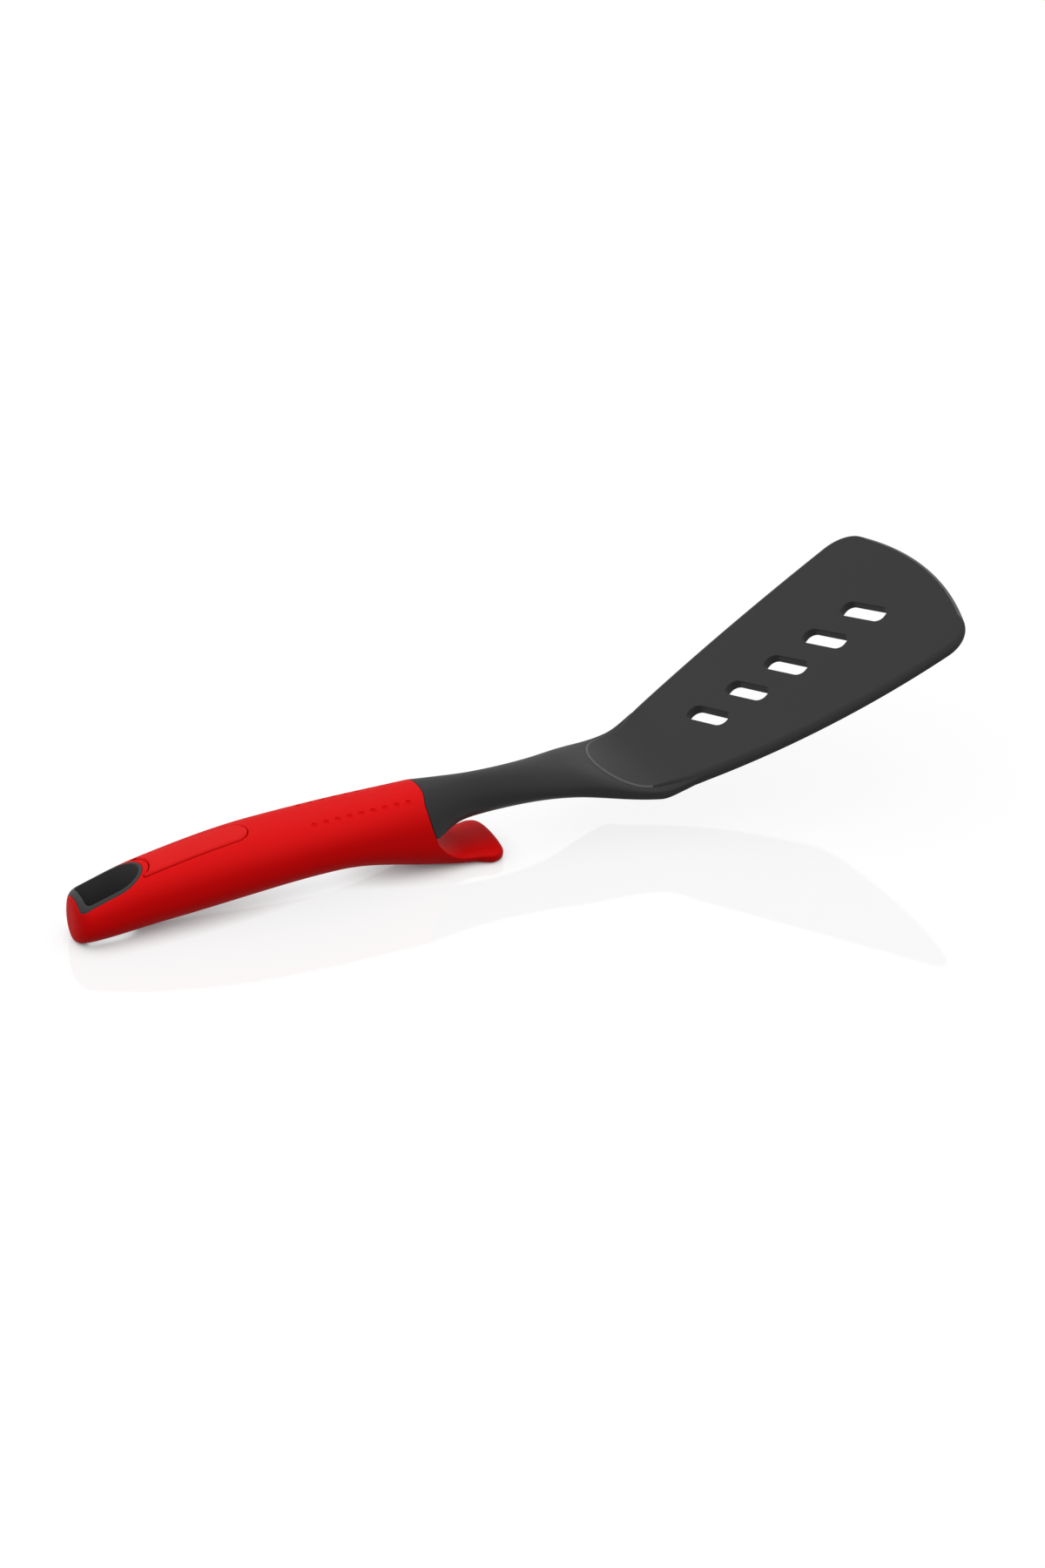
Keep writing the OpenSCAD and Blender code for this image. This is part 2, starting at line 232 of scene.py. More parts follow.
# Here the second number is the depth as a share of the plate's thickness
PLATE_LOW_RIM = [(0.0, 0.82), (-0.12, 0.93), (-0.45, 1.0)]
# Here both numbers are shares of the rim's radius
SLOT_RIM = [(1.0, 5.0), (0.98, 0.075), (0.6, -0.06), (0.25, -0.34), (0.05, -0.7), (0.0, -1.0)]

# Shares of a half width or height that keep a root from running off the edge of its section
SPLIT_LIMIT = 0.95
SKIN_LIMIT = 0.995
SHOULDER_LIMIT = 0.985

# Steps round a section and along the outlines
LOW_STEPS = 26
HIGH_STEPS = 30
GRIP_STEPS = 84
TAIL_STEPS = 22
RIM_STEPS = 4
FOOT_STEPS = 22
FOOT_NOSE_STEPS = 20
NECK_SIDES = 96
NECK_STEPS = 72
NECK_RUN_IN_STEPS = 5
FOLD_STEPS = 6
LIP_STEPS = 26
ROOT_STEPS = 8
SIDE_STEPS = 44
CORNER_STEPS = 22
FRONT_STEPS = 30
EDGE_STEPS = 7
PLATE_SLICES = 56
SLOT_STEPS = 10
EYE_STEPS = 10
EYE_NOSE_STEPS = 48
EYE_TAIL_STEPS = 8
PAD_STEPS = 44
PAD_NOSE_STEPS = 30
PAD_HORN_STEPS = 24
PAD_SLICES = 40
PAD_STRIPS = 14
PIN_SIDES = 32
DIMPLE_ROUNDS = 3
SKIN_ROUNDS = 4

# Smallest station on the skin, small step for a slope, and how close points merge
SKIN_START = 0.2
TOUCH = 0.1
MERGE = 1e-4
SLICE_MERGE = 1e-5
SMOOTH_ANGLE = math.radians(34.0)

# Floor and light
FLOOR_HALF = 6.0
FLOOR_SQUARES = 8
SHEET_BOUNCE = 0.16
SHEET_SHADE = 0.95
SHEET_WHITE = 0.89
SHEET_MIRROR = 0.07
# Within this distance of the object, in metres, the sheet loses its white and keeps the shadow
CONTACT_REACH = 0.009
CONTACT_SAMPLES = 8
TENT_LIGHT = 1.12
# Height of the direction and the share of the light that comes from there
TENT = [(0.0, 0.46), (0.3, 0.58), (0.6, 0.88), (0.85, 1.3)]

# Camera: lens and film in millimetres, place in metres, direction in degrees
CAMERA_LENS = 100.0
CAMERA_FILM = 36.0
CAMERA_NEAR = 0.05
CAMERA_PLACE = (-0.58385, -1.26741, 0.80273)
CAMERA_AZIMUTH = -24.905
CAMERA_ELEVATION = 29.170


def mix(a, b, share):
    return a + (b - a) * share


def ease(t):
    """Smooth step from 0 to 1."""
    t = min(1.0, max(0.0, t))
    return t * t * (3.0 - 2.0 * t)


def secant(p, i):
    return (p[i + 1][1] - p[i][1]) / (p[i + 1][0] - p[i][0])


def slope_at(p, i):
    if i == 0:
        return secant(p, 0)
    if i == len(p) - 1:
        return secant(p, i - 1)
    left, right = secant(p, i - 1), secant(p, i)
    if left * right <= 0.0:
        return 0.0
    return 2.0 * left * right / (left + right)


def hermite(x0, v0, m0, x1, v1, m1, x):
    h = x1 - x0
    t = (x - x0) / h
    a = 2 * t ** 3 - 3 * t ** 2 + 1
    b = t ** 3 - 2 * t ** 2 + t
    c = t ** 3 - t ** 2
    return v0 * a + h * m0 * b + v1 * (1 - a) + h * m1 * c


def along(p, x):
    """Value at x on a smooth curve through stations of (x, value)."""
    if x <= p[0][0]:
        return p[0][1]
    if x >= p[-1][0]:
        return p[-1][1]
    i = max(k for k in range(len(p) - 1) if p[k][0] <= x)
    return hermite(*p[i], slope_at(p, i), *p[i + 1], slope_at(p, i + 1), x)


def round_in(d, r):
    """How far a rounded end of radius r draws in at distance d from its end."""
    if d >= r:
        return 0.0
    return r - math.sqrt(max(0.0, r * r - (r - d) ** 2))


def power(v, n):
    return math.copysign(abs(v) ** (2.0 / n), v)


def crowd(r, n):
    """Distances from a rounded end that crowd together towards it."""
    return [r * (1.0 - math.cos(math.pi / 2 * i / n)) for i in range(n + 1)]


def spread(a, b, n):
    return [mix(a, b, i / n) for i in range(n + 1)]


# Making meshes

def draw_out(bm, loops, ring=False):
    """Skin through loops of points, each extruded from the one before; a ring ends where it starts."""
    if ring:
        loops = loops + [loops[0]]
    seat = bm.verts.layers.int.get("seat") or bm.verts.layers.int.new("seat")
    start = bmesh.ops.create_circle(
        bm, cap_ends=not ring, segments=len(loops[0]), radius=1.0)["verts"]
    for i, v in enumerate(start):
        v[seat] = i
        v.co = loops[0][i]
    started = set(start)
    rim = [e for e in bm.edges if e.verts[0] in started and e.verts[1] in started]
    for loop in loops[1:]:
        fresh = bmesh.ops.extrude_edge_only(bm, edges=rim)["geom"]
        for v in fresh:
            if isinstance(v, bmesh.types.BMVert):
                v.co = loop[v[seat]]
        rim = [e for e in fresh if isinstance(e, bmesh.types.BMEdge)]
    if not ring:
        bmesh.ops.contextual_create(bm, geom=rim)
    return bm


def closed(bm):
    """Merges doubles and turns every face outwards."""
    bmesh.ops.remove_doubles(bm, verts=bm.verts, dist=MERGE)
    bmesh.ops.recalc_face_normals(bm, faces=bm.faces)
    return bm


def slice_up(bm, stations, axis):
    """Cuts the whole mesh at the given stations, so that it can be bent."""
    normal = [0.0, 0.0, 0.0]
    normal[axis] = 1.0
    for x in stations:
        at = [0.0, 0.0, 0.0]
        at[axis] = x
        everything = [*bm.verts, *bm.edges, *bm.faces]
        bmesh.ops.bisect_plane(bm, geom=everything, dist=SLICE_MERGE, plane_co=at, plane_no=normal)
    return bm


def in_scene(name, data):
    made = bpy.data.objects.new(name, data)
    bpy.context.scene.collection.objects.link(made)
    return made


def meshed(name, bm):
    """Object at the origin with the finished mesh."""
    mesh = bpy.data.meshes.new(name)
    bm.to_mesh(mesh)
    bm.free()
    return in_scene(name, mesh)


def made_object(name, bm):
    """Object whose mesh goes from millimetres from the tail to metres in the frame."""
    closed(bm)
    bmesh.ops.translate(bm, verts=bm.verts, vec=(-OVERALL_L / 2, 0.0, 0.0))
    bmesh.ops.scale(bm, verts=bm.verts, vec=(MM, MM, MM))
    return meshed(name, bm)


def worked(body, tools):
    """Adds or cuts each tool to or from the body, and removes the tool."""
    for operation, tool in tools:
        step = body.modifiers.new("work", "BOOLEAN")
        step.operation = operation
        step.solver = "EXACT"
        step.object = tool
    graph = bpy.context.evaluated_depsgraph_get()
    mesh = bpy.data.meshes.new_from_object(body.evaluated_get(graph))
    body.modifiers.clear()
    old = body.data
    body.data = mesh
    bpy.data.meshes.remove(old)
    mesh.name = body.name
    for _, tool in tools:
        spent = tool.data
        bpy.data.objects.remove(tool)
        bpy.data.meshes.remove(spent)
    return body


def smoothed(piece):
    """Smooth shading that breaks only at real corners, and flat faces that stay flat."""
    piece.data.shade_smooth()
    piece.data.set_sharp_from_angle(angle=SMOOTH_ANGLE)
    even = piece.modifiers.new("even shading", "WEIGHTED_NORMAL")
    even.keep_sharp = True
    return piece


# Handle sections

HANDLE_HALF_W = [(0, TAIL_W / 2), (MID_X, GRIP_W / 2), (SEAM_X, FRONT_W / 2),
                 (FOOT_X - SOLE_L, FOOT_WAIST_W / 2), (FOOT_X - FOOT_ROUND, FOOT_W / 2)]
HANDLE_TOP = [(0, TAIL_H), (EYE_END_X, EYE_H), (MID_X, MID_H), (SEAM_X, FRONT_H)]
HANDLE_UNDER = [(0, TAIL_LIFT), (TAIL_ROUND, TAIL_LIFT), (RISE_X, RISE_H), (ARCH_X, ARCH_H),
                (FOOT_X - SOLE_L, 0), (FOOT_X, 0)]
HANDLE_SOLE = [(0, KEEL), (ARCH_X, BELLY), (SEAM_X, HEEL), (FOOT_X - SOLE_L, INSTEP),
               (FOOT_X - FOOT_ROUND, SOLE)]
# How far the seam lies from its station at each height: less than 0 is towards the tail
SEAM_LINE = [(14.5, -0.7), (20.0, -2.6), (25.0, -3.7), (29.0, -4.1), (FRONT_H, -2.6)]


def dome(share, n):
    """Size of a rounded end at a share of its length: 2 is a half round, more is squarer."""
    return (1.0 - max(0.0, 1.0 - share) ** n) ** (1.0 / n)


def handle_sizes(s):
    """Half width, top, underside and squareness of the underside at a station."""
    half = along(HANDLE_HALF_W, s) * dome(s / TAIL_ROUND, TAIL_DOME)
    half -= round_in(FOOT_X - s, FOOT_ROUND)
    top = along(HANDLE_TOP, s)
    low = along(HANDLE_UNDER, s) - SINK
    hollow = (top - low) / 2 * (1.0 - dome(s / TAIL_EDGE, TAIL_EDGE_DOME))
    return half, top - hollow, low + hollow, along(HANDLE_SOLE, s)


def handle_lean(s):
    """Lean of a section with the tail's end."""
    return TAIL_LEAN * max(0.0, 1.0 - s / EYE_END_X)


def seam_share(s):
    """How much of the seam's line a section of the handle follows."""
    return ease((s - ARCH_X) / (SEAM_X - ARCH_X)) * (1.0 - ease((s - SEAM_X) / SOLE_L))


def split_angle(z, mid, rise, down):
    """Angle round a section at which it reaches a height."""
    u = min(SPLIT_LIMIT, max(-SPLIT_LIMIT, (z - mid) / rise))
    n = CROWN if u > 0 else down
    return math.asin(math.copysign(abs(u) ** (n / 2.0), u))


def foot_cut(s):
    """Height of the foot's top at a station."""
    t = min(1.0, max(0.0, (s - SEAM_X) / FOOT_FILLET))
    return FOOT_T + (FOOT_ROOT_H - FOOT_T) * (1.0 - t) ** 2 - round_in(FOOT_X - s, FOOT_NOSE_R)


def foot_wall(s):
    """Height at which the foot's side turns over into its top."""
    t = min(1.0, max(0.0, (s - SEAM_X) / FOOT_RIM_L))
    nose = round_in(FOOT_X - s, FOOT_NOSE_R) / FOOT_NOSE_R
    return FOOT_WALL_H * (1.0 - FOOT_NOSE_SINK * nose) + (SPLIT_H - FOOT_WALL_H) * (1.0 - t) ** 3


def foot_edge_distance(s, y, half):
    """Distance in plan from a point of the foot to its outline."""
    nose = FOOT_X - FOOT_ROUND
    flat = FOOT_W / 2 - FOOT_ROUND
    if s <= nose:
        return half - abs(y)
    if abs(y) <= flat:
        return FOOT_X - s
    return FOOT_ROUND - math.hypot(s - nose, abs(y) - flat)


def handle_loop(s, cut=None, inset=0.0):
    """Section of the grip. With cut, its upper part is the foot's top at that height."""
    half, top, low, down = handle_sizes(s)
    mid, rise = (top + low) / 2, (top - low) / 2
    split_z = SPLIT_H if cut is None else foot_wall(s)
    split = split_angle(split_z, mid, rise, down)
    side = []
    for t in spread(-math.pi / 2, split, LOW_STEPS):
        n = down if t < 0 else CROWN
        y = half * power(math.cos(t), n)
        z = max(0.0, mid + rise * power(math.sin(t), n))
        if s > SEAM_X:
            z = max(z, round_in(foot_edge_distance(s, y, half), SOLE_RIM_R))
        side.append((y, z))
    wall = side[-1][0]
    for i in range(1, HIGH_STEPS + 1):
        if cut is None:
            t = mix(split, math.pi / 2, i / HIGH_STEPS)
            n = down if t < 0 else CROWN
            y = half * power(math.cos(t), n)
            z = mid + rise * power(math.sin(t), n)
            hold = ease((z - split_z) / SEAM_RIM_RUN) * inset
            y *= 1.0 - hold / half
            z -= hold * max(0.0, (z - mid) / rise)
        else:
            t = math.pi / 2 * i / HIGH_STEPS
            y = wall * math.cos(t)
            z = split_z + (max(cut, split_z + FOOT_TOP_MIN) - split_z) * power(math.sin(t), OVAL)
        side.append((y, z))
    k, follow = handle_lean(s), seam_share(s)
    right = [Vector((s + k * (top - z) + follow * along(SEAM_LINE, z), y, z)) for y, z in side]
    left = [Vector((p.x, -p.y, p.z)) for p in right[-2:0:-1]]
    return right + left


def handle_over(s, y):
    """Height of a section's upper side."""
    half, top, low, _ = handle_sizes(s)
    u = min(SKIN_LIMIT, abs(y) / half)
    return (top + low) / 2 + (top - low) / 2 * (1.0 - u ** CROWN) ** (1.0 / CROWN)


def handle_beneath(s, y):
    """Height of a section's underside."""
    half, top, low, down = handle_sizes(s)
    u = min(SKIN_LIMIT, abs(y) / half)
    return max(0.0, (top + low) / 2 - (top - low) / 2 * (1.0 - u ** down) ** (1.0 / down))


def skin_height(x, y, surface=handle_over):
    """Height of the handle's skin over a point, the lean of its sections allowed for."""
    s = max(SKIN_START, x)
    for _ in range(SKIN_ROUNDS):
        z = surface(s, y)
        s = max(SKIN_START, x - handle_lean(s) * (handle_sizes(s)[1] - z))
    return z


# Outlines

def arc(cx, cy, r, a, b, n):
    return [(cx + r * math.cos(t), cy + r * math.sin(t)) for t in spread(a, b, n)]


def grown(outline, amounts):
    """Outline moved outwards along its own normals by an amount at each point."""
    moved = []
    n = len(outline)
    for i in range(n):
        before, after = Vector(outline[i - 1]), Vector(outline[(i + 1) % n])
        way = (after - before).normalized()
        moved.append((outline[i][0] + way.y * amounts[i], outline[i][1] - way.x * amounts[i]))
    return moved


def evenly_grown(outline, amount):
    return grown(outline, [amount] * len(outline))


def eye_outline(wall, tail_wall):
    """Outline of the hanging eye: square towards the tail, oval in front, anticlockwise."""
    half = EYE_W / 2 - wall
    nose = EYE_NOSE - wall
    nose_x = EYE_END_X - EYE_NOSE
    r = EYE_R - wall * EYE_R_LOSS
    corner_x = EYE_X + tail_wall + r
    points = [(nose_x + nose * math.cos(t), half * math.sin(t))
              for t in spread(-math.pi / 2, math.pi / 2, EYE_NOSE_STEPS)]
    points += [(x, half) for x in spread(nose_x, corner_x, EYE_STEPS)[1:-1]]
    points += arc(corner_x, half - r, r, math.pi / 2, math.pi, EYE_STEPS)
    points += [(EYE_X + tail_wall, y) for y in spread(half - r, r - half, EYE_TAIL_STEPS)[1:-1]]
    points += arc(corner_x, r - half, r, math.pi, 1.5 * math.pi, EYE_STEPS)
    points += [(x, -half) for x in spread(corner_x, nose_x, EYE_STEPS)[1:-1]]
    return points


def eye_point(p, z):
    """Point of the eye's outline at a height, on the lean of the tail."""
    return Vector((p[0] + TAIL_LEAN * (TAIL_H - z), p[1], z))


def eye_loop(outline, lift, surface=handle_over):
    """The eye's outline laid on the handle's skin, lifted by a height."""
    loop = []
    for p in outline:
        z = TAIL_H
        for _ in range(SKIN_ROUNDS):
            z = skin_height(eye_point(p, z).x, p[1], surface)
        loop.append(eye_point(p, z + lift))
    return loop


def pad_outline():
    """Outline of the thumb pad, anticlockwise: horns round the eye, round nose in front."""
    front_r = PAD_FRONT_W / 2
    front_x = PAD_X + PAD_L - front_r
    rear_x = PAD_X - PAD_HORN
    rear_half = PAD_REAR_W / 2
    hollow_x = PAD_X - PAD_REAR_R
    horn = math.acos((rear_x - hollow_x) / PAD_REAR_R)
    points = [(x, mix(-rear_half, -front_r, (x - rear_x) / (front_x - rear_x)))
              for x in spread(rear_x, front_x, PAD_STEPS)]
    points += arc(front_x, 0.0, front_r, -math.pi / 2, math.pi / 2, PAD_NOSE_STEPS)[1:]
    points += [(x, mix(rear_half, front_r, (x - rear_x) / (front_x - rear_x)))
               for x in spread(front_x, rear_x, PAD_STEPS)[1:]]
    points += arc(hollow_x, 0.0, PAD_REAR_R, horn, -horn, PAD_HORN_STEPS)
    return points


# Grip

def grip_body():
    """Grip from the tail to the seam, and from there the foot."""
    tail = [TAIL_START] + crowd(TAIL_ROUND, TAIL_STEPS)[1:-1]
    loops = [handle_loop(s) for s in tail + spread(TAIL_ROUND, SEAM_X - SEAM_BAND, GRIP_STEPS)]
    for d in reversed(crowd(SEAM_RIM_R, RIM_STEPS)):
        loops.append(handle_loop(SEAM_X - d, inset=round_in(d, SEAM_RIM_R)))
    loops.append(handle_loop(SEAM_X, cut=FOOT_ROOT_H))
    foot = spread(SEAM_X, FOOT_X - FOOT_ROUND, FOOT_STEPS)[1:]
    foot += [FOOT_X - d for d in reversed(crowd(FOOT_ROUND, FOOT_NOSE_STEPS)[:-1])]
    loops += [handle_loop(s, cut=foot_cut(s)) for s in foot]
    return draw_out(bmesh.new(), loops)


def pad_height(x, y, lift):
    """The pad's face is flatter than the grip round it, and stands a little proud."""
    crest = skin_height(x, 0.0)
    return crest + (skin_height(x, y) - crest) * PAD_CROWN + PAD_RISE + lift


def eye_hole(bm):
    """Hole for the eye's liner, right through, with soft rims."""
    outer = eye_outline(0.0, 0.0)
    wide = evenly_grown(outer, EYE_HOLE_RIM[0][0])
    loops = [[eye_point(p, FRONT_H) for p in wide]]
    loops += [eye_loop(evenly_grown(outer, g), lift) for g, lift in EYE_HOLE_RIM]
    loops += [eye_loop(evenly_grown(outer, g - EYE_TAPER), -lift, handle_beneath)
              for g, lift in reversed(EYE_HOLE_RIM)]
    loops.append([eye_point(p, -REACH) for p in evenly_grown(wide, -EYE_TAPER)])
    draw_out(bm, loops)


def pad_recess(bm):
    """Recess for the pad, with a soft rim and a groove's width to spare."""
    pad = pad_outline()
    wide = evenly_grown(pad, PAD_GAP + PAD_HOLE_RIM[0][0])
    loops = [[Vector((x, y, FRONT_H + REACH)) for x, y in wide]]
    for g, lift in PAD_HOLE_RIM:
        rim = evenly_grown(pad, PAD_GAP + g)
        loops.append([Vector((x, y, skin_height(x, y) + lift)) for x, y in rim])
    draw_out(bm, loops)


def dimple_rows(bm):
    """Balls that press a row of dimples into each side."""
    ball_r = ((DIMPLE_D / 2) ** 2 + DIMPLE_DEEP ** 2) / (2 * DIMPLE_DEEP)
    for i in range(DIMPLE_N):
        for y in (-DIMPLE_Y, DIMPLE_Y):
            x = DIMPLE_X + i * DIMPLE_PITCH
            z = handle_over(x, y)
            out = Vector((0.0, z - handle_over(x, y + TOUCH), TOUCH)).normalized()
            at = Vector((x, y, z)) + out * (ball_r - DIMPLE_DEEP)
            ball = bmesh.ops.create_icosphere(bm, subdivisions=DIMPLE_ROUNDS, radius=ball_r)["verts"]
            bmesh.ops.translate(bm, verts=ball, vec=at)


def grip_cutters():
    bm = bmesh.new()
    eye_hole(bm)
    pad_recess(bm)
    dimple_rows(bm)
    return bm


def made_grip():
    body = made_object("red_grip", grip_body())
    cutters = made_object("grip_cutters", grip_cutters())
    return smoothed(worked(body, [("DIFFERENCE", cutters)]))


# Thumb pad

def made_pad():
    """Closed pad with a rounded rim, modelled flat and then laid on the handle."""
    outline = pad_outline()
    loops = [[Vector((x, y, lift)) for x, y in evenly_grown(outline, g)] for g, lift in PAD_RIM]
    bm = closed(draw_out(bmesh.new(), loops))
    slice_up(bm, spread(PAD_X - PAD_HORN, PAD_X + PAD_L, PAD_SLICES)[1:-1], 0)
    slice_up(bm, spread(-PAD_REAR_W / 2, PAD_REAR_W / 2, PAD_STRIPS)[1:-1], 1)
    for v in bm.verts:
        v.co.z = pad_height(v.co.x, v.co.y, v.co.z)
    return smoothed(made_object("thumb_rest", bm))


# Liner of the hanging eye

def made_eye():
    """Liner with rounded rims on both sides of the handle, smaller beneath."""
    outer = eye_outline(0.0, 0.0)
    inner = eye_outline(EYE_WALL, EYE_TAIL_WALL)

    def between(share):
        return [(mix(a[0], b[0], share), mix(a[1], b[1], share)) for a, b in zip(outer, inner)]

    loops = [eye_loop(between(share), lift) for share, lift in EYE_RIM]
    for share, lift in reversed(EYE_RIM):
        narrow = evenly_grown(between(share), -EYE_TAPER)
        loops.append(eye_loop(narrow, EYE_UNDER_RISE - lift, handle_beneath))
    return smoothed(made_object("eye_liner", draw_out(bmesh.new(), loops, ring=True)))


# Head: neck, blade and tang

BLADE_BEND = (TIP_SLOPE - ROOT_SLOPE) / BLADE_L
NECK_HALF_W = [(0, FRONT_W / 2), (WAIST_X, WAIST_W / 2), (SHANK_X, SHANK_W / 2),
               (FOLD_X, FOLD_W / 2), (NECK_L, ROOT_W / 2)]
NECK_TOP = [(0, FRONT_H), (WAIST_X, WAIST_H), (SHANK_X, SHANK_H), (FOLD_X, FOLD_H), (NECK_L, ROOT_H)]
NECK_UNDER = [(0, FRONT_H - NECK_END_T), (WAIST_X, WAIST_H - WAIST_T), (SHANK_X, SHANK_H - SHANK_T),
              (FOLD_X, FOLD_H - FOLD_T), (NECK_L, ROOT_H - ROOT_T / math.cos(math.atan(ROOT_SLOPE)))]


def blade_slope(d):
    return ROOT_SLOPE + BLADE_BEND * d


def blade_top(d):
    """Height of the blade's top, d from its root."""
    return ROOT_H + ROOT_SLOPE * d + BLADE_BEND * d * d / 2


def blade_thick(d):
    return mix(ROOT_T, TIP_T, d / BLADE_L)


def sharp_line(d):
    """Height of the head's top along its middle, d from the seam, with the fold still sharp."""
    if d >= NECK_L:
        return blade_top(d - NECK_L)
    if d > FOLD_X:
        return hermite(FOLD_X, FOLD_H, 0.0, NECK_L, ROOT_H, ROOT_SLOPE, d)
    return along(NECK_TOP, d)


def top_line(d):
    """Height of the head's top along its middle, d from the seam, the fold softened."""
    reach = FOLD_SOFT * ease((d - FOLD_SOFT_FROM) / FOLD_SOFT_RUN)
    reach *= 1.0 - ease((d - FOLD_SOFT_TO) / FOLD_SOFT_RUN)
    if reach == 0.0:
        return sharp_line(d)
    near = [sharp_line(d + reach * k / FOLD_STEPS) for k in range(-FOLD_STEPS, FOLD_STEPS + 1)]
    return sum(near) / len(near)


def neck_square(d):
    return mix(OVAL, PLATE, ease((d - SQUARE_FROM) / (NECK_L - SQUARE_FROM)) ** 2)


def neck_low(d):
    """Underside of the neck, which runs into the plate's and ends hidden inside it."""
    under = along(NECK_UNDER, d)
    if d <= FOLD_X:
        return under
    hidden = NECK_HIDE * ease((d - NECK_L + NECK_HIDE_BACK) / (NECK_RUN_IN + NECK_HIDE_BACK))
    plate = top_line(d) - plate_thick(SEAM_X + d) * PLATE_UPRIGHT + hidden
    return mix(under, plate, ease((d - FOLD_X) / (NECK_L - FOLD_X)))


def shoulder_drop(d, y):
    """How far the neck's section has fallen at y below its crest."""
    n = neck_square(d)
    u = min(SHOULDER_LIMIT, abs(y) / along(NECK_HALF_W, d))
    return (top_line(d) - neck_low(d)) / 2 * (1.0 - (1.0 - u ** n) ** (1.0 / n))


def plate_top(s, y=0.0):
    """Top of the blade's plate; towards the handle it ends in a lip that lies on the neck."""
    d = s - SEAM_X
    if d >= NECK_L:
        return top_line(d)
    rest = 1.0 - ease((d - FOLD_X) / (NECK_L - FOLD_X))
    return top_line(d) + LIP_H * ease((ROOT_X - s) / LIP_RUN) - rest * shoulder_drop(d, y)


def plate_thick(s):
    if s >= ROOT_X:
        return blade_thick(s - ROOT_X)
    return mix(ROOT_T, TONGUE_T, ease((ROOT_X - s) / (ROOT_X - TONGUE_X)))


def neck_end_y(t):
    """Half width of the neck's end face, flush with the grip, as a share of its greatest."""
    _, top, low, down = handle_sizes(SEAM_X)
    mid, rise = (top + low) / 2, (top - low) / 2
    z = FRONT_H - NECK_END_T / 2 + NECK_END_T / 2 * power(math.sin(t), OVAL)
    u = (z - mid) / rise
    n = CROWN if u > 0 else down
    y = max(0.0, 1.0 - abs(u) ** n) ** (1.0 / n)
    chin = FRONT_H - NECK_END_T + NECK_CHIN_H
    if z < chin:
        y *= math.sqrt(max(0.0, 1.0 - ((chin - z) / NECK_CHIN_H) ** 2))
    return math.copysign(y, math.cos(t))


def neck_loop(d, inset=0.0):
    """Section of the neck at distance d from the seam; past the root it hides in the plate."""
    half = along(NECK_HALF_W, d)
    top = top_line(d) - NECK_SINK * ease((d - FOLD_X + NECK_SINK_BACK) / NECK_SINK_RUN)
    low = neck_low(d)
    n = neck_square(d)
    mid, rise = (top + low) / 2, (top - low) / 2 - inset
    half -= inset
    share = ease(d / NECK_FLUSH_L)
    follow = 1.0 - ease(d / WAIST_X)
    x = SEAM_X + SEAM_GAP + (NECK_L - SEAM_GAP) * d / NECK_L
    loop = []
    for i in range(NECK_SIDES):
        t = 2 * math.pi * i / NECK_SIDES
        z = mid + rise * power(math.sin(t), n)
        y = half * mix(neck_end_y(t), power(math.cos(t), n), share)
        loop.append(Vector((x + follow * along(SEAM_LINE, z), y, z)))
    return loop


def neck_body():
    loops = [neck_loop(d, round_in(d, SEAM_RIM_R)) for d in crowd(SEAM_RIM_R, RIM_STEPS)]
    run_in = spread(NECK_L, NECK_L + NECK_RUN_IN, NECK_RUN_IN_STEPS)[1:]
    loops += [neck_loop(d) for d in spread(NECK_START, NECK_L, NECK_STEPS) + run_in]
    return draw_out(bmesh.new(), loops)


def corner_centre(side_c, front_c):
    """Centre of the corner's arc, which touches the side's and the front's circle from inside."""
    gap = front_c - side_c
    dist = gap.length
    ra, rb = SIDE_R - CORNER_R, FRONT_R - CORNER_R
    a = (ra * ra - rb * rb + dist * dist) / (2 * dist)
    h = math.sqrt(ra * ra - a * a)
    way = gap / dist
    return side_c + way * a + Vector((way.y, -way.x)) * h


def tongue_half():
    """One half of the tongue's outline up to the blade's root, with the edge's width at each point."""
    join = TONGUE_W / 2
    points = []
    for t in spread(0.0, math.pi / 2, LIP_STEPS):
        x = TONGUE_JOIN_X - (TONGUE_JOIN_X - TONGUE_X) * math.cos(t)
        points.append((x, join * math.sin(t), LIP_EDGE))
    for x in spread(TONGUE_JOIN_X, ROOT_X, ROOT_STEPS)[1:-1]:
        widen = ease((x - TONGUE_JOIN_X) / (ROOT_X - TONGUE_JOIN_X))
        y = mix(join, along(NECK_HALF_W, x - SEAM_X), widen)
        points.append((x, y, mix(LIP_EDGE, SIDE_EDGE, widen)))
    return points


def plate_half():
    """One half of the plate's outline from the tongue to the tip, and where its front begins."""
    points = tongue_half()
    root, far = Vector((0.0, ROOT_W / 2)), Vector((BLADE_L, BLADE_W / 2))
    chord = far - root
    out = Vector((chord.y, -chord.x)).normalized()
    side_c = (root + far) / 2 + out * math.sqrt(SIDE_R ** 2 - (chord.length / 2) ** 2)
    front_c = Vector((BLADE_L - FRONT_R, 0.0))
    corner_c = corner_centre(side_c, front_c)
    to_side = corner_c - side_c
    to_front = corner_c - front_c
    side_end = math.atan2(to_side.y, to_side.x)
    front_end = math.atan2(to_front.y, to_front.x)
    from_root = root - side_c
    side_start = math.atan2(from_root.y, from_root.x)
    for x, y in arc(*side_c, SIDE_R, side_start, side_end, SIDE_STEPS):
        points.append((ROOT_X + x, y, SIDE_EDGE))
    turn = arc(*corner_c, CORNER_R, side_end, front_end, CORNER_STEPS)
    for i, (x, y) in enumerate(turn[1:], 1):
        points.append((ROOT_X + x, y, mix(SIDE_EDGE, FRONT_EDGE, ease(i / CORNER_STEPS))))
    for x, y in arc(*front_c, FRONT_R, front_end, 0.0, FRONT_STEPS)[1:]:
        points.append((ROOT_X + x, y, FRONT_EDGE))
    return points, ROOT_X + front_c.x + FRONT_R * math.cos(front_end)


